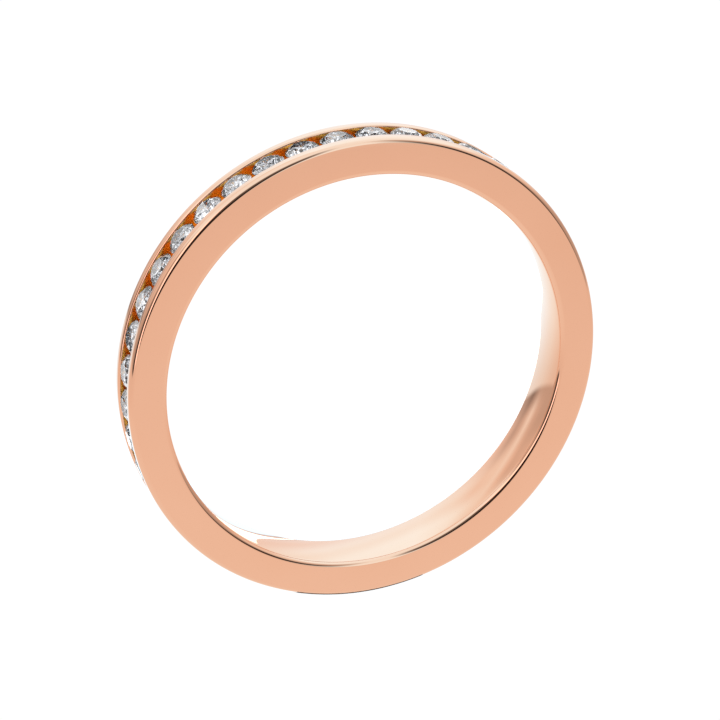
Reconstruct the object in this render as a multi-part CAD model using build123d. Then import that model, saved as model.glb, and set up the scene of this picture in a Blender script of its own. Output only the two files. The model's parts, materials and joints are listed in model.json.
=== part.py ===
from build123d import *
import os
from math import cos, pi, radians, sin, sqrt, tan

# Channel-set eternity band: one cast ring with a channel round its rim, and a closed row of round
# brilliants that drop into burred seats and are held by the two rails.
# The bore axis is Y and the origin is the bore centre, so the ring stands on its rim with +Z up.

# ---- finger bore and metal, mm
BORE_D = 17.06             # inside diameter, close to US size 6 3/4
FLOOR_T = 0.72             # metal between the bore and the tip of a stone
RAIL_W = 0.49              # width of one rail, from the side face to the channel wall
OUTER_EDGE_R = 0.225       # rounding between rim and side face
BORE_EDGE_R = 0.22         # rounding between bore and side face
LIP_R = 0.11               # rounding between rim and channel wall
CHANNEL_BELOW_GIRDLE = 0.25    # how far the channel floor lies under the stones' girdles

# ---- stone row
STONE_COUNT = 42
STONE_GAP = 0.095          # between two neighbouring girdles
TABLE_SETBACK = 0.010      # the stones' tables lie this far under the rim
LIP_OVERLAP = 0.030        # how far each rail reaches over the girdle
SEAT_CLEARANCE = 0.005     # between a stone and its seat
SEAT_RELIEF_DEG = 0.8      # the seat is this much steeper than the pavilion, so the girdle bears
ROW_START_DEG = 1.6        # first stone, measured from +X towards +Z
STONE_TURN_DEG = 17.0      # each stone is turned this much more about its own axis

# ---- proportions of one round brilliant, as shares of its diameter
TABLE_SHARE = 0.57
STAR_SHARE = 0.55          # a star facet's share of the way from table edge to girdle
LOWER_HALF_SHARE = 0.80    # a lower half facet's share of the way from girdle to tip
CROWN_DEG = 34.5
PAVILION_DEG = 40.75
GIRDLE_T = 0.040           # girdle thickness, mm

MAINS = 8                  # main facets on the crown, and on the pavilion
STEP_DEG = 360 / MAINS     # angle from one main facet to the next

# ---- sizes that follow
bore_r = BORE_D / 2
pavilion_share = tan(radians(PAVILION_DEG)) / 2
crown_share = (1 - TABLE_SHARE) / 2 * tan(radians(CROWN_DEG))
chord_share = 2 * sin(pi / STONE_COUNT)    # chord from stone to stone, as a share of the girdle circle

# The stones fill the circle: their diameter is what the count and the gap leave on the girdle circle,
# which itself lies one pavilion depth above the floor.
stone_d = (chord_share * (bore_r + FLOOR_T + GIRDLE_T / 2) - STONE_GAP) / (1 - chord_share * pavilion_share)
stone_r = stone_d / 2
crown_h = crown_share * stone_d
pavilion_h = pavilion_share * stone_d

girdle_low_r = bore_r + FLOOR_T + pavilion_h       # ring radius at the girdle's lower edge
girdle_top_r = girdle_low_r + GIRDLE_T             # ring radius at the girdle's upper edge
rim_r = girdle_top_r + crown_h + TABLE_SETBACK     # outside radius of the ring
channel_w = stone_d - 2 * LIP_OVERLAP
band_w = channel_w + 2 * RAIL_W
channel_floor_r = girdle_low_r - CHANNEL_BELOW_GIRDLE


def ring_section():
    """Section of the metal, with X as ring radius and Y along the bore axis."""
    with BuildSketch(Plane.XY) as section:
        with Locations(((bore_r + rim_r) / 2, 0)):
            Rectangle(rim_r - bore_r, band_w)
        with Locations(((channel_floor_r + rim_r) / 2, 0)):
            Rectangle(rim_r - channel_floor_r, channel_w, mode=Mode.SUBTRACT)
        corners = section.vertices()
        rim = corners.filter_by(lambda v: abs(v.X - rim_r) < TOL)
        outer = rim.filter_by(lambda v: abs(abs(v.Y) - band_w / 2) < TOL)
        lips = rim.filter_by(lambda v: abs(abs(v.Y) - channel_w / 2) < TOL)
        bore = corners.filter_by(lambda v: abs(v.X - bore_r) < TOL)
        fillet(outer, min(OUTER_EDGE_R, RAIL_W - lip_r() - TOL))
        fillet(lips, lip_r())
        fillet(bore, BORE_EDGE_R)
    return section.sketch


TOL = 1e-4                 # how closely a corner is looked up


def lip_r():
    """Lip rounding, which stays above the seats that the rails close over."""
    seat_top_r = girdle_top_r + LIP_OVERLAP * tan(radians(CROWN_DEG)) + SEAT_CLEARANCE
    return min(LIP_R, rim_r - seat_top_r - TOL)


def seat_cutter():
    """Burr for one seat, on the stone's own axis: pavilion cone, girdle notch and crown cone."""
    seat_r = stone_r + SEAT_CLEARANCE
    tip_z = -seat_r * tan(radians(PAVILION_DEG + SEAT_RELIEF_DEG))
    top_r = channel_w / 2 - LIP_OVERLAP
    top_z = GIRDLE_T + SEAT_CLEARANCE + (seat_r - top_r) * tan(radians(CROWN_DEG))
    with BuildSketch(Plane.XZ) as outline:
        with BuildLine():
            Polyline(
                (0, tip_z),
                (seat_r, -SEAT_CLEARANCE),
                (seat_r, GIRDLE_T + SEAT_CLEARANCE),
                (top_r, top_z),
                (0, top_z),
                close=True,
            )
        make_face()
    return revolve(outline.sketch, Axis.Z)


def polar(radius, angle_deg, height):
    """A point given by its radius and angle about the stone's axis and its height."""
    return Vector(radius * cos(radians(angle_deg)), radius * sin(radians(angle_deg)), height)


def cut_facet(stone, a, b, c):
    """Grinds one flat through three points, leaving the side that holds the stone's middle."""
    normal = (b - a).cross(c - a).normalized()
    if normal.dot(a) < 0:
        normal = normal * -1
    return split(stone, bisect_by=Plane(origin=a, z_dir=normal), keep=Keep.BOTTOM)


def brilliant():
    """One round brilliant: table up, girdle's lower edge at height 0, tip down on the Z axis."""
    half_step = STEP_DEG / 2
    table_z = GIRDLE_T + crown_h
    table_r = TABLE_SHARE * stone_r
    table_edge = table_r * cos(radians(half_step))
    star_r = table_edge + STAR_SHARE * (stone_r - table_edge)
    star_drop = stone_r - star_r * cos(radians(half_step))
    star_z = GIRDLE_T + star_drop * tan(radians(CROWN_DEG))
    lower_r = stone_r * (1 - LOWER_HALF_SHARE)
    lower_z = -(stone_r - lower_r * cos(radians(half_step))) * tan(radians(PAVILION_DEG))
    stone = Cylinder(stone_r, table_z + pavilion_h).moved(Location((0, 0, (table_z - pavilion_h) / 2)))
    for i in range(MAINS):
        a = i * STEP_DEG
        side = polar(stone_r, a + 90, 0)
        girdle_top = polar(stone_r, a, GIRDLE_T)
        girdle_low = polar(stone_r, a, 0)
        star_tip = polar(star_r, a + half_step, star_z)
        lower_tip = polar(lower_r, a + half_step, lower_z)
        stone = cut_facet(stone, girdle_top, girdle_top + side, polar(table_r, a, table_z))
        stone = cut_facet(stone, girdle_low, girdle_low + side, Vector(0, 0, -pavilion_h))
        stone = cut_facet(stone, star_tip, polar(table_r, a, table_z), polar(table_r, a + STEP_DEG, table_z))
        for near in (a, a + STEP_DEG):
            mid = a + half_step
            stone = cut_facet(stone, star_tip, polar(stone_r, near, GIRDLE_T), polar(stone_r, mid, GIRDLE_T))
            stone = cut_facet(stone, lower_tip, polar(stone_r, near, 0), polar(stone_r, mid, 0))
    return stone


def seat_plane(index):
    """Plane of one stone's lower girdle edge: Z outwards, X round the ring, Y along the bore axis."""
    angle = radians(ROW_START_DEG + index * 360 / STONE_COUNT)
    outward = Vector(cos(angle), 0, sin(angle))
    return Plane(origin=outward * girdle_low_r, x_dir=Vector(sin(angle), 0, -cos(angle)), z_dir=outward)


def save(solid, name):
    """Writes one node."""
    solid.label = name
    export_step(solid, f"parts/{name}.step")


os.makedirs("parts", exist_ok=True)

band = revolve(ring_section(), Axis.Y)
cutter = seat_cutter()
master_stone = brilliant()
for index in range(STONE_COUNT):
    band -= seat_plane(index).location * cutter
    turned = Rot(0, 0, index * STONE_TURN_DEG) * master_stone
    save(seat_plane(index).location * turned, f"diamond_{index + 1:02d}")
save(band, "band")

print(f"outside diameter {2 * rim_r:.3f}  width {band_w:.3f}  thickness {rim_r - bore_r:.3f}")
print(f"stone diameter {stone_d:.3f}  depth {GIRDLE_T + crown_h + pavilion_h:.3f}")
print(f"band volume {band.volume:.3f}  one stone {master_stone.volume:.4f}")
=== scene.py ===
import json
import logging
import math
from collections.abc import Callable
from dataclasses import dataclass, field
from enum import Enum

import bmesh
import bpy
from mathutils import Matrix, Vector


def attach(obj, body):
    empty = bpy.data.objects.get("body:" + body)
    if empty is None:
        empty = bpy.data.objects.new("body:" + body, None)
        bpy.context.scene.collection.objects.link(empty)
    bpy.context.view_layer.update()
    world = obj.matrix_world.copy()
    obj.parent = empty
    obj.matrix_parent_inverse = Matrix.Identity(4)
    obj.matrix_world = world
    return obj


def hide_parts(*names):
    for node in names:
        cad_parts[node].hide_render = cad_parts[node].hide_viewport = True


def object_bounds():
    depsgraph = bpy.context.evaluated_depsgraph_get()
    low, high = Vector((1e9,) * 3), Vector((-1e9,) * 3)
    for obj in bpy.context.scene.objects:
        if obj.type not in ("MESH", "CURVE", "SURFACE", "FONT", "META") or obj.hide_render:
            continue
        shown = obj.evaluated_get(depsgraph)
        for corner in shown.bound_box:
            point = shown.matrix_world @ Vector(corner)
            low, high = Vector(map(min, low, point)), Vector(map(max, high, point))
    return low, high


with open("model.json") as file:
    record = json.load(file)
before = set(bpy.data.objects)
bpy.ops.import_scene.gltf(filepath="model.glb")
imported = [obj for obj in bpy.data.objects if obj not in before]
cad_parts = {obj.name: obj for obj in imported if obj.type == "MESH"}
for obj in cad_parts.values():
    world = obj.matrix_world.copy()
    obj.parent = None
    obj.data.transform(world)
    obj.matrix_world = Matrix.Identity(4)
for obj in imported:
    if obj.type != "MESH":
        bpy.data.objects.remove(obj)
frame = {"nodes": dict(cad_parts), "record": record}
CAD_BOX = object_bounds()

logging.basicConfig(level=logging.INFO, format="%(name)s: %(message)s")
log = logging.getLogger("wedding_band")

MM = 0.001                  # the pieces are shaped in millimetres and brought to metres at the end
BORE = (0.0, 0.0, 0.0)      # centre of the finger bore
BORE_AXIS = (0.0, 1.0, 0.0)
METAL_UNDER_STONES = 0.72   # from the bore to the tips of the stones, mm
CUT_TOLERANCE = 1e-6        # how exactly a flat is cut, mm
STONE_WELD = 1e-5           # corners of a stone that are this close become one, mm
BAND_WELD = 1e-4            # the same for the metal, mm
EDGE_TOLERANCE = 0.001      # how closely a face is matched with a wall or an edge, mm
FACES_DOWN = -0.1           # facets whose normal has a lower Z than this lie under the girdle
FLAT_ON = 0.999             # faces whose normal is this much along an axis count as square to it

Stops = tuple[tuple[float, float], ...]     # pairs of degrees and light level


# ------------------------------------------------------------------ small bench tools


class Element(Enum):
    """The kinds of element that a mesh selection can look at."""

    VERTS = "VERT"
    FACES = "FACE"


def rest_hands() -> None:
    """Leaves edit mode and deselects every object."""
    if bpy.context.object and bpy.context.object.mode != "OBJECT":
        bpy.ops.object.mode_set(mode="OBJECT")
    bpy.ops.object.select_all(action="DESELECT")


def take(obj: bpy.types.Object) -> None:
    """Makes one object the only selected and active one.

    Args:
        obj: the object to work on.
    """
    rest_hands()
    obj.select_set(True)
    bpy.context.view_layer.objects.active = obj


def pick(kind: Element, test: Callable[..., bool]) -> int:
    """Selects the elements of the edited mesh that pass a test, and nothing else.

    Args:
        kind: the kind of element.
        test: a function of the element that says whether it is wanted.

    Returns:
        How many were selected.
    """
    bpy.ops.mesh.select_mode(type=kind.value)
    bpy.ops.mesh.select_all(action="DESELECT")
    mesh = bmesh.from_edit_mesh(bpy.context.object.data)
    rows = {Element.VERTS: mesh.verts, Element.FACES: mesh.faces}[kind]
    count = 0
    for element in rows:
        if test(element):
            element.select_set(True)
            count += 1
    mesh.select_flush_mode()
    bmesh.update_edit_mesh(bpy.context.object.data)
    return count


def near(a: float, b: float, tolerance: float = 1e-4) -> bool:
    """True if two lengths agree to within the tolerance."""
    return abs(a - b) < tolerance


def settle() -> None:
    """Bakes the selected object's place, turn and scale into its mesh."""
    bpy.ops.object.transform_apply(location=True, rotation=True, scale=True)


def to_metres(obj: bpy.types.Object) -> None:
    """Shrinks a mesh shaped in millimetres to metres, about the bore centre.

    Args:
        obj: the object whose mesh is shrunk.
    """
    take(obj)
    obj.scale = (MM, MM, MM)
    bpy.ops.object.transform_apply(location=False, rotation=False, scale=True)


def modifier(obj: bpy.types.Object, kind: str, **settings: object) -> None:
    """Adds a modifier, sets it and applies it.

    Args:
        obj: the object that gets it.
        kind: the modifier's type.
        settings: its properties.
    """
    take(obj)
    added = obj.modifiers.new(kind.title(), kind)
    for name, value in settings.items():
        setattr(added, name, value)
    bpy.ops.object.modifier_apply(modifier=added.name)


# ------------------------------------------------------------------ finishes


@dataclass(frozen=True)
class NewMaterial:
    """A new node material and its Principled shader."""

    name: str

    def start(self) -> tuple[bpy.types.Material, bpy.types.NodeTree, bpy.types.Node]:
        """Makes the material.

        Returns:
            The material, its node tree and its Principled node.
        """
        material = bpy.data.materials.new(self.name)
        material.use_nodes = True
        tree = material.node_tree
        return material, tree, tree.nodes["Principled BSDF"]


@dataclass(frozen=True)
class RoseGold:
    """Polished 14 ct rose gold with the fine marks that a buffing wheel leaves."""

    name: str = "rose_gold_polish"
    light: tuple[float, float, float] = (0.855, 0.460, 0.300)
    deep: tuple[float, float, float] = (0.825, 0.430, 0.272)
    roughness: tuple[float, float] = (0.030, 0.045)
    grain: float = 900.0
    bump: float = 0.02
    cloud_size: float = 3.0         # the clouds of colour are this much coarser than the grain
    cloud_detail: float = 3.0
    mark_fineness: float = 4.0      # the marks are this much finer than the grain
    mark_detail: float = 4.0
    mark_depth: float = 0.00001     # metres

    def make(self) -> bpy.types.Material:
        """Builds the material.

        Returns:
            The finished material.
        """
        material, tree, shader = NewMaterial(self.name).start()
        place = tree.nodes.new("ShaderNodeTexCoord")
        cloud = tree.nodes.new("ShaderNodeTexNoise")
        cloud.inputs["Scale"].default_value = self.grain / self.cloud_size
        cloud.inputs["Detail"].default_value = self.cloud_detail
        tree.links.new(place.outputs["Object"], cloud.inputs["Vector"])
        tint = tree.nodes.new("ShaderNodeMix")
        tint.data_type = "RGBA"
        tint.inputs["A"].default_value = (*self.deep, 1)
        tint.inputs["B"].default_value = (*self.light, 1)
        tree.links.new(cloud.outputs["Fac"], tint.inputs["Factor"])
        tree.links.new(tint.outputs["Result"], shader.inputs["Base Color"])
        marks = tree.nodes.new("ShaderNodeTexNoise")
        marks.inputs["Scale"].default_value = self.grain * self.mark_fineness
        marks.inputs["Detail"].default_value = self.mark_detail
        tree.links.new(place.outputs["Object"], marks.inputs["Vector"])
        rough = tree.nodes.new("ShaderNodeMapRange")
        rough.inputs["To Min"].default_value, rough.inputs["To Max"].default_value = self.roughness
        tree.links.new(marks.outputs["Fac"], rough.inputs["Value"])
        tree.links.new(rough.outputs["Result"], shader.inputs["Roughness"])
        relief = tree.nodes.new("ShaderNodeBump")
        relief.inputs["Strength"].default_value = self.bump
        relief.inputs["Distance"].default_value = self.mark_depth
        tree.links.new(marks.outputs["Fac"], relief.inputs["Height"])
        tree.links.new(relief.outputs["Normal"], shader.inputs["Normal"])
        shader.inputs["Metallic"].default_value = 1.0
        return material


@dataclass(frozen=True)
class Diamond:
    """Clear, colourless diamond with flat-polished facets, as it is on the crown."""

    name: str = "diamond_crown"
    tint: tuple[float, float, float] = (0.97, 0.98, 1.0)
    ior: float = 2.417

    def make(self) -> bpy.types.Material:
        """Builds the material.

        Returns:
            The finished material.
        """
        material, _, shader = NewMaterial(self.name).start()
        shader.inputs["Base Color"].default_value = (*self.tint, 1)
        shader.inputs["Roughness"].default_value = 0.0
        shader.inputs["IOR"].default_value = self.ior
        shader.inputs["Transmission Weight"].default_value = 1.0
        return material


@dataclass(frozen=True)
class DiamondBack:
    """Facets under the girdle, made a mirror that turns the light back inside the stone in place of total
    reflection, with random darker and brighter cells painted on it as the facets' flashes of light and
    shade.
    """

    name: str = "diamond_pavilion"
    dark: tuple[float, float, float] = (0.50, 0.505, 0.52)
    light: tuple[float, float, float] = (0.95, 0.96, 0.98)
    cells: float = 5200.0

    def make(self) -> bpy.types.Material:
        """Builds the material.

        Returns:
            The finished material.
        """
        material, tree, shader = NewMaterial(self.name).start()
        place = tree.nodes.new("ShaderNodeTexCoord")
        # painted flashes of light and shade: random cells run the mirror from dark grey to light grey
        patch = tree.nodes.new("ShaderNodeTexVoronoi")
        patch.inputs["Scale"].default_value = self.cells
        tree.links.new(place.outputs["Object"], patch.inputs["Vector"])
        tint = tree.nodes.new("ShaderNodeMix")
        tint.data_type = "RGBA"
        tint.inputs["A"].default_value = (*self.dark, 1)
        tint.inputs["B"].default_value = (*self.light, 1)
        split = tree.nodes.new("ShaderNodeSeparateColor")
        tree.links.new(patch.outputs["Color"], split.inputs["Color"])
        tree.links.new(split.outputs["Red"], tint.inputs["Factor"])
        tree.links.new(tint.outputs["Result"], shader.inputs["Base Color"])
        shader.inputs["Metallic"].default_value = 1.0
        shader.inputs["Roughness"].default_value = 0.0
        return material


@dataclass(frozen=True)
class SatinGoldPaintedReflection(RoseGold):
    """Satin gold down in the channel, its deep orange colour a painted reflection: the colour of light
    bounced between the gold walls of the channel.
    """

    name: str = "rose_gold_channel"
    # painted reflection: more orange than the polished gold, for the light bounced round the channel
    light: tuple[float, float, float] = (1.0, 0.510, 0.090)
    deep: tuple[float, float, float] = (1.0, 0.455, 0.070)
    roughness: tuple[float, float] = (0.26, 0.36)
    grain: float = 5000.0
    bump: float = 0.08


@dataclass(frozen=True)
class EvenGlow:
    """Glows evenly and reflects nothing: the lit table, the dome behind it and the cards."""

    name: str = "pale_floor"
    glow: float = 1.03

    def make(self) -> bpy.types.Material:
        """Builds the material.

        Returns:
            The finished material.
        """
        material, _, shader = NewMaterial(self.name).start()
        shader.inputs["Base Color"].default_value = (0, 0, 0, 1)
        shader.inputs["Roughness"].default_value = 1.0
        shader.inputs["Specular IOR Level"].default_value = 0.0
        shader.inputs["Emission Color"].default_value = (1, 1, 1, 1)
        shader.inputs["Emission Strength"].default_value = self.glow
        return material


# ------------------------------------------------------------------ stones


@dataclass
class Brilliant:
    """One round brilliant, cut table up with its lower girdle edge at height 0, in millimetres."""

    diameter: float = 1.3793
    girdle: float = 0.040
    table: float = 0.57
    star: float = 0.55
    lower_half: float = 0.80
    crown_deg: float = 34.5
    pavilion_deg: float = 40.75
    mains: int = 8
    rounds: int = 64                # sides of the blank

    @property
    def radius(self) -> float:
        """Girdle radius."""
        return self.diameter / 2

    @property
    def crown(self) -> float:
        """Height of the crown above the girdle."""
        return (1 - self.table) * self.radius * math.tan(math.radians(self.crown_deg))

    @property
    def pavilion(self) -> float:
        """Depth of the pavilion under the girdle."""
        return self.radius * math.tan(math.radians(self.pavilion_deg))

    @staticmethod
    def polar(radius: float, angle: float, height: float) -> Vector:
        """A point given by its radius and angle about the stone's axis and its height."""
        return Vector((radius * math.cos(angle), radius * math.sin(angle), height))

    def facets(self) -> list[tuple[Vector, Vector, Vector]]:
        """Three points of every flat but the table.

        Returns:
            One triple of points for each facet.
        """
        step = 2 * math.pi / self.mains
        half = step / 2
        table_z = self.girdle + self.crown
        table_r = self.table * self.radius
        table_edge = table_r * math.cos(half)
        crown_tan = math.tan(math.radians(self.crown_deg))
        pavilion_tan = math.tan(math.radians(self.pavilion_deg))
        star_r = table_edge + self.star * (self.radius - table_edge)
        star_z = self.girdle + (self.radius - star_r * math.cos(half)) * crown_tan
        lower_r = self.radius * (1 - self.lower_half)
        lower_z = -(self.radius - lower_r * math.cos(half)) * pavilion_tan
        flats = []
        for i in range(self.mains):
            a = i * step
            along = self.polar(self.radius, a + math.pi / 2, 0)
            top, low = self.polar(self.radius, a, self.girdle), self.polar(self.radius, a, 0)
            star_tip = self.polar(star_r, a + half, star_z)
            lower_tip = self.polar(lower_r, a + half, lower_z)
            flats.append((top, top + along, self.polar(table_r, a, table_z)))
            flats.append((low, low + along, Vector((0, 0, -self.pavilion))))
            flats.append((star_tip, self.polar(table_r, a, table_z), self.polar(table_r, a + step, table_z)))
            mid = a + half
            for side in (a, a + step):
                flats.append((star_tip, self.polar(self.radius, side, self.girdle),
                              self.polar(self.radius, mid, self.girdle)))
                flats.append((lower_tip, self.polar(self.radius, side, 0), self.polar(self.radius, mid, 0)))
        return flats

    def cut(self) -> bpy.types.Object:
        """Grinds the stone from a round blank, one flat at a time.

        Returns:
            The cut stone.
        """
        top, low = self.girdle + self.crown, -self.pavilion
        rest_hands()
        bpy.ops.mesh.primitive_cylinder_add(vertices=self.rounds, radius=self.radius, depth=top - low,
                                            location=(0, 0, (top + low) / 2))
        stone = bpy.context.object
        stone.name = "brilliant_blank"
        settle()
        bpy.ops.object.mode_set(mode="EDIT")
        for a, b, c in self.facets():
            normal = (b - a).cross(c - a).normalized()
            if normal.dot(a) < 0:
                normal = -normal
            bpy.ops.mesh.select_all(action="SELECT")
            bpy.ops.mesh.bisect(plane_co=a, plane_no=normal, use_fill=True, clear_outer=True,
                                threshold=CUT_TOLERANCE)
        bpy.ops.mesh.select_all(action="SELECT")
        bpy.ops.mesh.remove_doubles(threshold=STONE_WELD)
        bpy.ops.mesh.normals_make_consistent(inside=False)
        for finish in (Diamond(), DiamondBack()):
            stone.data.materials.append(finish.make())
        pick(Element.FACES, lambda f: f.normal.z < FACES_DOWN)
        stone.active_material_index = 1
        bpy.ops.object.material_slot_assign()
        bpy.ops.object.mode_set(mode="OBJECT")
        bpy.ops.object.shade_flat()
        return stone


@dataclass
class StoneRow:
    """The closed row of stones in the channel, placed in millimetres."""

    nodes: list[str]
    girdle_low_r: float
    start_deg: float = 1.6
    turn_deg: float = 17.0
    stone: Brilliant = field(default_factory=Brilliant)

    def seat(self, index: int) -> Matrix:
        """Place of one stone: Z outwards, X round the ring, Y along the bore.

        Args:
            index: the stone's number, from 0.

        Returns:
            The matrix from the stone's own axes to the ring's, in millimetres.
        """
        angle = math.radians(self.start_deg + index * 360 / len(self.nodes))
        outward = Vector((math.cos(angle), 0, math.sin(angle)))
        around = Vector((math.sin(angle), 0, -math.cos(angle)))
        axes = Matrix((around, Vector(BORE_AXIS), outward)).transposed().to_4x4()
        turn = Matrix.Rotation(math.radians(index * self.turn_deg), 4, "Z")
        return Matrix.Translation(outward * self.girdle_low_r) @ axes @ turn

    def build(self) -> list[bpy.types.Object]:
        """Cuts one stone and sets a copy of it in every seat.

        Returns:
            The set stones.
        """
        blank = self.stone.cut()
        row = []
        for index, node in enumerate(self.nodes):
            take(blank)
            bpy.ops.object.duplicate(linked=False)
            copy = bpy.context.object
            copy.name = copy.data.name = f"brilliant_{index + 1:02d}"
            copy.matrix_world = self.seat(index)
            settle()
            to_metres(copy)
            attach(copy, "root")
            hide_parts(node)
            row.append(copy)
        bpy.data.objects.remove(blank)
        log.info("stone row: %d brilliants of %.2f mm", len(row), self.stone.diameter)
        return row


# ------------------------------------------------------------------ metal


@dataclass
class CastBand:
    """The cast ring: bore, side faces, two rails and the channel with its seats, in millimetres."""

    bore_r: float
    rim_r: float
    width: float
    girdle_low_r: float
    stones: int
    stone: Brilliant
    channel_below_girdle: float = 0.25
    outer_edge_r: float = 0.225
    outer_edge_steps: int = 16
    bore_edge_r: float = 0.22
    bore_edge_steps: int = 32
    lip_r: float = 0.11
    lip_steps: int = 8
    lip_overlap: float = 0.030      # how far each rail reaches over the girdles
    clearance: float = 0.005        # between a stone and its seat
    relief_deg: float = 0.8         # the seat is this much steeper than the pavilion
    start_deg: float = 1.6
    arcs: int = 12                  # steps round one pitch
    burr_sides: int = 64
    crown_deg: float = 10.0         # lean of the bore's normals at its edges
    smooth_deg: float = 30.0
    normal_weight: int = 50
    finish: RoseGold = field(default_factory=RoseGold)
    # satin gold for the channel, with its orange colour a painted reflection of light bounced round the
    # channel
    channel_satin_painted_reflection: SatinGoldPaintedReflection = field(default_factory=SatinGoldPaintedReflection)

    @property
    def pitch(self) -> float:
        """Angle from stone to stone, in radians."""
        return 2 * math.pi / self.stones

    @property
    def channel_w(self) -> float:
        """Width of the channel, narrower than a stone by both rails' overlaps."""
        return self.stone.diameter - 2 * self.lip_overlap

    @property
    def floor_r(self) -> float:
        """Radius of the channel floor."""
        return self.girdle_low_r - self.channel_below_girdle

    def section(self) -> bpy.types.Object:
        """Draws the metal's section as one flat face, X outwards and Y along the bore.

        Returns:
            The object that holds the face.
        """
        rest_hands()
        middle = ((self.bore_r + self.rim_r) / 2, 0, 0)
        bpy.ops.mesh.primitive_plane_add(size=1, location=(0, 0, 0))
        ring = bpy.context.object
        ring.name = ring.data.name = "cast_band"
        bpy.ops.object.mode_set(mode="EDIT")
        bpy.ops.transform.resize(value=(self.rim_r - self.bore_r, self.width, 1), center_override=BORE)
        bpy.ops.transform.translate(value=middle)
        channel_cuts = (
            ((0, self.channel_w / 2, 0), BORE_AXIS),
            ((0, -self.channel_w / 2, 0), BORE_AXIS),
            ((self.floor_r, 0, 0), (1, 0, 0)),
        )
        for point, normal in channel_cuts:
            bpy.ops.mesh.select_all(action="SELECT")
            bpy.ops.mesh.bisect(plane_co=point, plane_no=normal, threshold=CUT_TOLERANCE)
        pick(Element.FACES, lambda f: f.calc_center_median().x > self.floor_r
             and abs(f.calc_center_median().y) < self.channel_w / 2)
        bpy.ops.mesh.delete(type="FACE")
        bpy.ops.mesh.select_all(action="SELECT")
        bpy.ops.mesh.dissolve_limited(angle_limit=0.01)
        corners = (
            (self.rim_r, self.width / 2, self.outer_edge_r, self.outer_edge_steps),
            (self.rim_r, self.channel_w / 2, self.lip_r, self.lip_steps),
            (self.bore_r, self.width / 2, self.bore_edge_r, self.bore_edge_steps),
        )
        for at_r, off_middle, rounding, steps in corners:
            pick(Element.VERTS, lambda v: near(v.co.x, at_r) and near(abs(v.co.y), off_middle))
            bpy.ops.mesh.bevel(offset=rounding, segments=steps, affect="VERTICES")
        bpy.ops.object.mode_set(mode="OBJECT")
        return ring

    @staticmethod
    def pull(height: float) -> None:
        """Extrudes the selected faces straight up."""
        bpy.ops.mesh.extrude_region_move(TRANSFORM_OT_translate={"value": (0, 0, height)})

    def burr(self) -> bpy.types.Object:
        """Makes the cutter of one seat, lying along +X where the stone's axis is.

        Returns:
            The cutter.
        """
        seat_r = self.stone.radius + self.clearance
        low = -seat_r * math.tan(math.radians(self.stone.pavilion_deg + self.relief_deg))
        top_r = self.channel_w / 2 - self.lip_overlap
        crown_tan = math.tan(math.radians(self.stone.crown_deg))
        top = self.stone.girdle + self.clearance + (seat_r - top_r) * crown_tan
        rest_hands()
        bpy.ops.mesh.primitive_cone_add(vertices=self.burr_sides, radius1=0, radius2=seat_r,
                                        depth=-low - self.clearance,
                                        location=(0, 0, (low - self.clearance) / 2))
        tool = bpy.context.object
        tool.name = "seat_burr"
        settle()
        bpy.ops.object.mode_set(mode="EDIT")
        pick(Element.FACES, lambda f: f.normal.z > FLAT_ON)
        self.pull(self.stone.girdle + 2 * self.clearance)
        self.pull(top - self.stone.girdle - self.clearance)
        share = top_r / seat_r
        bpy.ops.transform.resize(value=(share, share, 1), center_override=(0, 0, top))
        bpy.ops.mesh.select_all(action="SELECT")
        bpy.ops.mesh.normals_make_consistent(inside=False)
        bpy.ops.object.mode_set(mode="OBJECT")
        outward = Matrix.Rotation(math.pi / 2, 4, "Y")
        tool.matrix_world = Matrix.Translation((self.girdle_low_r, 0, 0)) @ outward
        take(tool)
        settle()
        return tool

    def in_channel(self, face: bmesh.types.BMFace) -> bool:
        """Tells the faces of the channel, satin gold with a painted orange reflection, from the polished
        walls over them.

        Args:
            face: a face of the ring, in millimetres.

        Returns:
            True if the face is part of the channel floor or of a seat.
        """
        centre = face.calc_center_median()
        radius = math.hypot(centre.x, centre.z)
        low = self.bore_r + self.bore_edge_r < radius < self.rim_r - self.lip_r
        wall = near(abs(centre.y), self.channel_w / 2, EDGE_TOLERANCE) and radius > self.girdle_low_r
        return low and abs(centre.y) < self.channel_w / 2 + EDGE_TOLERANCE and not wall

    def crown_bore(self, ring: bpy.types.Object) -> None:
        """Turns the normals of the bore as a lightly crowned, comfortable bore has them.

        Args:
            ring: the ring, in metres.
        """
        mesh = ring.data
        flat, end = self.width / 2 - self.bore_edge_r, self.bore_r + self.bore_edge_r
        normals = [corner.vector.copy() for corner in mesh.corner_normals]
        share = 1 - self.crown_deg / 90
        for face in mesh.polygons:
            if abs(face.normal.y) > FLAT_ON:
                continue
            for corner in face.loop_indices:
                x, y, z = mesh.vertices[mesh.loops[corner].vertex_index].co / MM
                radius = math.hypot(x, z)
                if radius > end + EDGE_TOLERANCE:
                    continue
                turned = math.atan2(max(abs(y) - flat, 0), end - radius)
                lean = turned * share + math.radians(self.crown_deg)
                inward = -math.cos(lean) / radius
                normals[corner] = Vector((inward * x, math.copysign(math.sin(lean), y), inward * z))
        mesh.normals_split_custom_set(normals)

    def at_cut_end(self, face: bmesh.types.BMFace) -> bool:
        """Finds the caps that close a sector where the next one joins on.

        Args:
            face: a face of the sector.

        Returns:
            True if the face is one of the caps.
        """
        centre = face.calc_center_median()
        return near(abs(math.atan2(centre.z, centre.x)), self.pitch / 2, 1e-5)

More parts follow.
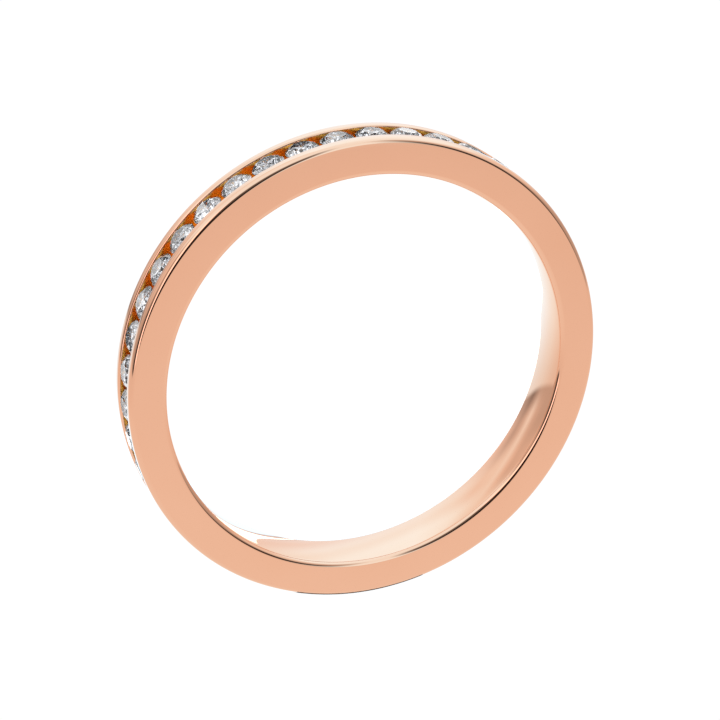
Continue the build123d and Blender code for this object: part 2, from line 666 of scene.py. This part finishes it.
    def sector(self) -> bpy.types.Object:
        """Spins one pitch of metal and burrs its seat.

        Returns:
            The sector, open at both ends.
        """
        piece = self.section()
        take(piece)
        piece.matrix_world = Matrix.Rotation(-self.pitch / 2, 4, "Y")
        settle()
        bpy.ops.object.mode_set(mode="EDIT")
        bpy.ops.mesh.select_all(action="SELECT")
        bpy.ops.mesh.spin(steps=self.arcs, angle=self.pitch, center=BORE, axis=(0, -1, 0))
        bpy.ops.mesh.select_mode(type="EDGE")
        bpy.ops.mesh.select_all(action="DESELECT")
        bpy.ops.mesh.select_non_manifold()
        bpy.ops.mesh.edge_face_add()
        bpy.ops.mesh.select_all(action="SELECT")
        bpy.ops.mesh.normals_make_consistent(inside=False)
        bpy.ops.object.mode_set(mode="OBJECT")
        tool = self.burr()
        modifier(piece, "BOOLEAN", operation="DIFFERENCE", solver="EXACT", object=tool)
        bpy.data.objects.remove(tool)
        take(piece)
        bpy.ops.object.mode_set(mode="EDIT")
        caps = pick(Element.FACES, self.at_cut_end)
        bpy.ops.mesh.delete(type="FACE")
        bpy.ops.object.mode_set(mode="OBJECT")
        log.info("band sector: %d cap faces taken off", caps)
        return piece

    def close_ring(self, sector: bpy.types.Object) -> None:
        """Repeats the sector round the bore and welds the copies into one ring.

        Args:
            sector: the first sector, which becomes the ring.
        """
        sectors = [sector]
        for index in range(1, self.stones):
            take(sector)
            bpy.ops.object.duplicate(linked=False)
            copy = bpy.context.object
            copy.matrix_world = Matrix.Rotation(-index * self.pitch, 4, "Y")
            settle()
            sectors.append(copy)
        rest_hands()
        for piece in sectors:
            piece.select_set(True)
        bpy.context.view_layer.objects.active = sector
        bpy.ops.object.join()
        bpy.ops.object.mode_set(mode="EDIT")
        bpy.ops.mesh.select_all(action="SELECT")
        bpy.ops.mesh.remove_doubles(threshold=BAND_WELD)
        bpy.ops.mesh.select_all(action="SELECT")
        bpy.ops.mesh.normals_make_consistent(inside=False)
        bpy.ops.object.mode_set(mode="OBJECT")
        sector.matrix_world = Matrix.Rotation(-math.radians(self.start_deg), 4, "Y")
        take(sector)
        settle()

    def dress(self, ring: bpy.types.Object) -> None:
        """Gives the ring its finishes, brings it to metres and smooths its shading.

        Args:
            ring: the welded ring, in millimetres.
        """
        ring.data.materials.clear()
        for finish in (self.finish, self.channel_satin_painted_reflection):
            ring.data.materials.append(finish.make())
        bpy.ops.object.mode_set(mode="EDIT")
        # the channel floor and seats get the satin gold with its painted orange reflection
        pick(Element.FACES, self.in_channel)
        ring.active_material_index = 1
        bpy.ops.object.material_slot_assign()
        bpy.ops.object.mode_set(mode="OBJECT")
        to_metres(ring)
        take(ring)
        bpy.ops.object.shade_smooth_by_angle(angle=math.radians(self.smooth_deg))
        modifier(ring, "WEIGHTED_NORMAL", mode="FACE_AREA", weight=self.normal_weight, keep_sharp=True)
        self.crown_bore(ring)

    def build(self) -> bpy.types.Object:
        """Makes the whole ring from one burred sector.

        Returns:
            The finished ring.
        """
        ring = self.sector()
        self.close_ring(ring)
        self.dress(ring)
        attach(ring, "root")
        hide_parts("band")
        log.info("cast band: %d faces", len(ring.data.polygons))
        return ring


# ------------------------------------------------------------------ studio


@dataclass(frozen=True)
class Room:
    """The studio round the ring, which its polish and its stones reflect.

    Directions are degrees from the front, growing to the right, so that 180 is straight behind. A light
    level of 1 is the white of the table.
    """

    full: float = 4.0                   # the brightest level that a ramp can hold
    cool: float = 0.35                  # how much bluer a level turns for each step over 1
    red_loss: float = 0.8               # how much of its red the light over 1 loses
    lamp_from: float = 2.0              # brighter levels than this are lamps
    lamp_green: float = 0.92
    lamp_blue: float = 0.97
    skirting: Stops = (
        (-180, 0.75), (-160, 0.5), (-155, 0.3), (-146, 0.65), (-133, 0.66), (-90, 0.6), (-75, 0.4),
        (-66, 0.08), (-46, 0.08), (-42, 2.1), (-29, 2.1), (-26, 0.02), (11, 0.02), (14, 1.6), (20, 1.6),
        (25, 0.04), (38, 0.1), (55, 0.55), (95, 0.62), (105, 0.7), (120, 0.7), (152, 0.75), (180, 0.75),
    )
    wall_low: Stops = (
        (-180, 1.35), (-165, 1.0), (-157, 0.64), (-152, 0.8), (-146, 1.25), (-140, 0.8), (-133, 0.68),
        (-90, 0.62), (-75, 0.4), (-66, 0.08), (-46, 0.08), (-42, 2.1), (-29, 2.1), (-26, 0.02), (11, 0.02),
        (14, 1.6), (20, 1.6), (25, 0.04), (38, 0.1), (55, 0.55), (95, 0.62), (105, 0.7), (120, 0.8),
        (135, 1.1), (152, 1.12), (165, 1.3), (180, 1.35),
    )
    wall_high: Stops = (
        (-180, 1.6), (-168, 1.42), (-158, 1.15), (-150, 1.2), (-146, 1.28), (-140, 0.95), (-136, 0.82),
        (-120, 0.9), (-90, 1.05), (-70, 0.55), (-55, 0.5), (-42, 2.1), (-28, 2.1), (-22, 0.15), (8, 0.2),
        (14, 1.5), (20, 1.5), (27, 0.55), (45, 1.2), (90, 0.95), (105, 1.3), (135, 1.5), (152, 1.6),
        (165, 1.6), (180, 1.6),
    )
    ceiling: Stops = (
        (-180, 1.85), (-160, 1.66), (-150, 1.4), (-140, 1.2), (-120, 1.4), (-90, 1.5), (0, 1.5), (90, 1.8),
        (180, 1.85),
    )
    floor_light: Stops = ((-90, 1.15), (-45, 1.1), (-28, 1.05), (-20, 0.96), (-15, 0.93))   # by elevation
    floor_turn: Stops = (
        (-180, 1.5), (-165, 1.45), (-150, 1.35), (-134, 1.12), (-115, 1.0), (110, 1.0), (140, 1.4),
        (155, 1.8), (170, 1.6), (180, 1.5),
    )
    floor_edge: tuple[float, float] = (-10.5, -7.5)     # elevations between which the floor ends
    front_drop: float = 5.0                             # its edge lies this much lower in front, degrees
    front_turn: tuple[float, float] = (1.1, 1.8)        # and comes up between these turns, radians
    low_band: tuple[float, float] = (-9, 1)             # elevations over which one wall becomes the next
    mid_band: tuple[float, float] = (2, 20)
    top_band: tuple[float, float] = (24, 42)
    lamp_count: float = 15.0                            # small lamps across the stones' own room
    lamp_contrast: float = 1.05
    lamp_light: float = 2.15

    def build(self) -> None:
        """Makes the room the world of the scene."""
        world = bpy.data.worlds.new("studio_room")
        world.use_nodes = True
        tree = world.node_tree
        view = tree.nodes.new("ShaderNodeTexCoord")
        split = tree.nodes.new("ShaderNodeSeparateXYZ")
        tree.links.new(view.outputs["Generated"], split.inputs["Vector"])
        back = self.math(tree, "MULTIPLY", split.outputs["Y"], -1.0)
        turn = self.math(tree, "ARCTAN2", split.outputs["X"], back)
        azimuth = self.math(tree, "MULTIPLY_ADD", turn, 0.5 / math.pi, 0.5)
        rise = self.math(tree, "ARCSINE", split.outputs["Z"])
        elevation = self.math(tree, "MULTIPLY_ADD", rise, 1 / math.pi, 0.5)
        light = self.ramp(tree, azimuth, self.skirting, 360)
        for level, (low, high) in ((self.wall_low, self.low_band), (self.wall_high, self.mid_band),
                                   (self.ceiling, self.top_band)):
            above = self.ramp(tree, azimuth, level, 360)
            light = self.blend(tree, elevation, low, high, light, above)
        floor = self.ramp(tree, elevation, self.floor_light, 180)
        floor = self.tinted(tree, floor, self.ramp(tree, azimuth, self.floor_turn, 360))
        spread = self.math(tree, "ABSOLUTE", turn)
        front = tree.nodes.new("ShaderNodeMapRange")
        front.inputs["From Min"].default_value, front.inputs["From Max"].default_value = self.front_turn
        front.inputs["To Min"].default_value = self.front_drop / 180
        front.inputs["To Max"].default_value = 0
        tree.links.new(spread, front.inputs["Value"])
        lifted = self.math(tree, "ADD", elevation, front.outputs["Result"])
        light = self.blend(tree, lifted, *self.floor_edge, floor, light)
        light = self.sparkle(tree, view.outputs["Generated"], light)
        background = tree.nodes["Background"]
        tree.links.new(light, background.inputs["Color"])
        background.inputs["Strength"].default_value = self.full
        bpy.context.scene.world = world

    @staticmethod
    def math(tree: bpy.types.NodeTree, kind: str, *values: object) -> bpy.types.NodeSocket:
        """Adds one Math node.

        Args:
            tree: the node tree.
            kind: the operation.
            values: its inputs, each a socket or a number.

        Returns:
            The node's output.
        """
        node = tree.nodes.new("ShaderNodeMath")
        node.operation = kind
        for socket, value in zip(node.inputs, values):
            if isinstance(value, bpy.types.NodeSocket):
                tree.links.new(value, socket)
            else:
                socket.default_value = value
        return node.outputs[0]

    def shade(self, level: float) -> tuple[float, float, float, float]:
        """Colour of a light level.

        It is neutral up to 1 and cooler as it grows brighter. The lamps, which are brighter still, are warm.

        Args:
            level: the light level, where 1 is the white of the table.

        Returns:
            The colour, as a share of the fullest light.
        """
        if level > self.lamp_from:
            red, green, blue = level, self.lamp_green * level, self.lamp_blue * level
        else:
            over = max(level - 1, 0)
            red, green, blue = level - self.red_loss * over, level, level * (1 + self.cool * over)
        return (red / self.full, green / self.full, blue / self.full, 1)

    def ramp(self, tree: bpy.types.NodeTree, socket: bpy.types.NodeSocket, stops: Stops,
             span: float) -> bpy.types.NodeSocket:
        """Adds a colour ramp over an angle.

        Args:
            tree: the node tree.
            socket: the angle, as a share of its span.
            stops: pairs of degrees and light level.
            span: the span in degrees, centred on 0.

        Returns:
            The ramp's colour.
        """
        node = tree.nodes.new("ShaderNodeValToRGB")
        node.color_ramp.interpolation = "LINEAR"
        rows = node.color_ramp.elements
        while len(rows) > 1:
            rows.remove(rows[-1])
        for index, (degrees, level) in enumerate(stops):
            place = degrees / span + 0.5
            row = rows[0] if index == 0 else rows.new(place)
            row.position = place
            row.color = self.shade(level)
        tree.links.new(socket, node.inputs["Fac"])
        return node.outputs["Color"]

    @staticmethod
    def blend(tree: bpy.types.NodeTree, elevation: bpy.types.NodeSocket, low: float, high: float,
              below: bpy.types.NodeSocket, above: bpy.types.NodeSocket) -> bpy.types.NodeSocket:
        """Blends two lights over a stretch of elevation.

        Args:
            tree: the node tree.
            elevation: the elevation, as a share of 180 degrees.
            low: elevation in degrees where the blend starts.
            high: elevation in degrees where it ends.
            below: the light under the stretch.
            above: the light over it.

        Returns:
            The blended light.
        """
        step = tree.nodes.new("ShaderNodeMapRange")
        step.interpolation_type = "SMOOTHSTEP"
        step.inputs["From Min"].default_value = low / 180 + 0.5
        step.inputs["From Max"].default_value = high / 180 + 0.5
        tree.links.new(elevation, step.inputs["Value"])
        mix = tree.nodes.new("ShaderNodeMix")
        mix.data_type = "RGBA"
        tree.links.new(step.outputs["Result"], mix.inputs["Factor"])
        tree.links.new(below, mix.inputs["A"])
        tree.links.new(above, mix.inputs["B"])
        return mix.outputs["Result"]

    def tinted(self, tree: bpy.types.NodeTree, light: bpy.types.NodeSocket,
               share: bpy.types.NodeSocket) -> bpy.types.NodeSocket:
        """Multiplies one light level by another.

        Args:
            tree: the node tree.
            light: the light.
            share: the level that it is multiplied by.

        Returns:
            The product, on the same scale.
        """
        mix = tree.nodes.new("ShaderNodeVectorMath")
        mix.operation = "MULTIPLY"
        tree.links.new(light, mix.inputs[0])
        tree.links.new(share, mix.inputs[1])
        grown = tree.nodes.new("ShaderNodeVectorMath")
        grown.operation = "SCALE"
        tree.links.new(mix.outputs["Vector"], grown.inputs[0])
        grown.inputs["Scale"].default_value = self.full
        return grown.outputs["Vector"]

    def sparkle(self, tree: bpy.types.NodeTree, view: bpy.types.NodeSocket,
                light: bpy.types.NodeSocket) -> bpy.types.NodeSocket:
        """Gives the sharp rays of the cut stones a neutral room of many small lamps.

        Args:
            tree: the node tree.
            view: the direction looked in.
            light: the light that the metal sees.

        Returns:
            The light for every ray.
        """
        path = tree.nodes.new("ShaderNodeLightPath")
        lamps = tree.nodes.new("ShaderNodeTexVoronoi")
        lamps.inputs["Scale"].default_value = self.lamp_count
        tree.links.new(view, lamps.inputs["Vector"])
        split = tree.nodes.new("ShaderNodeSeparateColor")
        tree.links.new(lamps.outputs["Color"], split.inputs["Color"])
        deep = self.math(tree, "POWER", split.outputs["Red"], self.lamp_contrast)
        level = self.math(tree, "MULTIPLY", deep, self.lamp_light / self.full)
        mix = tree.nodes.new("ShaderNodeMix")
        mix.data_type = "RGBA"
        tree.links.new(path.outputs["Is Singular Ray"], mix.inputs["Factor"])
        tree.links.new(light, mix.inputs["A"])
        tree.links.new(level, mix.inputs["B"])
        return mix.outputs["Result"]


@dataclass
class Studio:
    """Table, reflector, room and camera, in metres unless a comment says otherwise."""

    foot: float
    reach: float = 2.0
    # The white card, in millimetres: left, right, how far behind, low, high
    card_box: tuple[float, float, float, float, float] = (6.5, 16.5, 22.0, -10.0, -2.9)
    card_tip: float = 0.1               # height left at its sloped end, mm
    card_glow: float = 3.4
    # The dark patch where the ring stands, in millimetres: left, right, front, behind
    shade_box: tuple[float, float, float, float] = (-3.2, 2.6, -1.15, 1.2)
    shade_drop: float = 0.002           # how far it lies under the ring, mm
    shade_glow: float = 0.08
    camera_azimuth: float = -19.96      # degrees
    camera_elevation: float = 23.475
    camera_distance: float = 0.0862
    camera_aim: tuple[float, float] = (-0.000048, 0.000232)
    lens: float = 104.5                 # mm
    sensor: float = 36                  # mm
    clip: tuple[float, float] = (0.002, 10)
    room: Room = field(default_factory=Room)

    def table(self) -> bpy.types.Object:
        """Lays the lit table under the ring.

        Returns:
            The table.
        """
        rest_hands()
        bpy.ops.mesh.primitive_plane_add(size=self.reach, location=(0, 0, self.foot))
        floor = bpy.context.object
        floor.name = "floor"
        floor.data.materials.append(EvenGlow().make())
        self.seen_by_camera_alone(floor)
        return floor

    def backdrop(self) -> bpy.types.Object:
        """Closes the view above the table with a white dome.

        Returns:
            The dome.
        """
        rest_hands()
        bpy.ops.mesh.primitive_uv_sphere_add(segments=48, ring_count=24, radius=self.reach / 2)
        dome = bpy.context.object
        dome.name = "backdrop"
        dome.data.materials.append(EvenGlow(name="pale_backdrop").make())
        self.seen_by_camera_alone(dome)
        return dome

    @staticmethod
    def plate(place: tuple[float, float, float], size: tuple[float, float], tilt: float,
              finish: EvenGlow) -> bpy.types.Object:
        """Makes a flat glowing plate.

        Args:
            place: its middle.
            size: its two edges.
            tilt: how far it is tipped up from lying flat, in radians.
            finish: its finish.

        Returns:
            The plate.
        """
        rest_hands()
        bpy.ops.mesh.primitive_plane_add(size=1, location=place, rotation=(tilt, 0, 0))
        plate = bpy.context.object
        plate.scale = (*size, 1)
        settle()
        plate.data.materials.append(finish.make())
        return plate

    def card(self) -> bpy.types.Object:
        """Stands a low white card with a sloped top behind the ring.

        Returns:
            The card.
        """
        left, right, behind, low, high = (value * MM for value in self.card_box)
        card = self.plate(((left + right) / 2, behind, (low + high) / 2), (right - left, high - low),
                          math.pi / 2, EvenGlow(name="card_white", glow=self.card_glow))
        card.name = "reflector_card"
        bpy.ops.object.mode_set(mode="EDIT")
        pick(Element.VERTS, lambda v: v.co.x < (left + right) / 2 and v.co.z > (low + high) / 2)
        bpy.ops.transform.translate(value=(0, 0, low - high + self.card_tip * MM))
        bpy.ops.object.mode_set(mode="OBJECT")
        self.seen_by_polish_alone(card)
        return card

    def contact_shade(self) -> bpy.types.Object:
        """Lays the dark patch on the table where the ring stands.

        Returns:
            The patch.
        """
        left, right, front, behind = (value * MM for value in self.shade_box)
        middle = ((left + right) / 2, (front + behind) / 2, self.foot - self.shade_drop * MM)
        shade = self.plate(middle, (right - left, behind - front), 0.0,
                           EvenGlow(name="contact_shade_face", glow=self.shade_glow))
        shade.name = "contact_shade"
        self.seen_by_polish_alone(shade)
        return shade

    @staticmethod
    def seen_by_camera_alone(obj: bpy.types.Object) -> None:
        """Keeps a stage piece out of the light and the reflections."""
        obj.visible_diffuse = obj.visible_glossy = obj.visible_transmission = obj.visible_shadow = False

    @staticmethod
    def seen_by_polish_alone(obj: bpy.types.Object) -> None:
        """Keeps a stage piece out of the picture, so that it shows in reflections only."""
        obj.visible_camera = obj.visible_shadow = obj.visible_diffuse = False

    def camera(self) -> bpy.types.Object:
        """Sets the camera.

        Returns:
            The camera.
        """
        a, e = math.radians(self.camera_azimuth), math.radians(self.camera_elevation)
        back = Vector((math.sin(a) * math.cos(e), -math.cos(a) * math.cos(e), math.sin(e)))
        right = Vector((math.cos(a), math.sin(a), 0))
        up = back.cross(right)
        data = bpy.data.cameras.new("camera")
        data.lens, data.sensor_width = self.lens, self.sensor
        data.clip_start, data.clip_end = self.clip
        camera = bpy.data.objects.new("camera", data)
        bpy.context.scene.collection.objects.link(camera)
        camera.location = back * self.camera_distance + right * self.camera_aim[0] + up * self.camera_aim[1]
        camera.rotation_euler = (-back).to_track_quat("-Z", "Y").to_euler()
        bpy.context.scene.camera = camera
        return camera

    def build(self) -> None:
        """Sets up the whole studio."""
        self.table()
        self.backdrop()
        self.card()
        self.contact_shade()
        self.room.build()
        self.camera()
        scene = bpy.context.scene
        scene.view_settings.view_transform = "Standard"
        scene.cycles.max_bounces = 24
        scene.cycles.glossy_bounces = 12
        scene.cycles.transmission_bounces = 20
        log.info("studio set")


def main() -> None:
    """Builds the ring, its stones and the studio."""
    bore = next(m for m in frame["record"]["mounts"] if m["name"] == "finger_bore")
    low, high = CAD_BOX
    rim_r, width = high.z / MM, (high.y - low.y) / MM
    bore_r = bore["dims"]["r_mm"]
    nodes = sorted(n for n in frame["nodes"] if n.startswith("diamond_"))
    stone = Brilliant()
    girdle_low_r = bore_r + METAL_UNDER_STONES + stone.pavilion
    CastBand(bore_r, rim_r, width, girdle_low_r, len(nodes), stone).build()
    StoneRow(nodes, girdle_low_r, stone=stone).build()
    Studio(low.z).build()
    log.info("all pieces built")


if __name__ == "__main__":
    main()
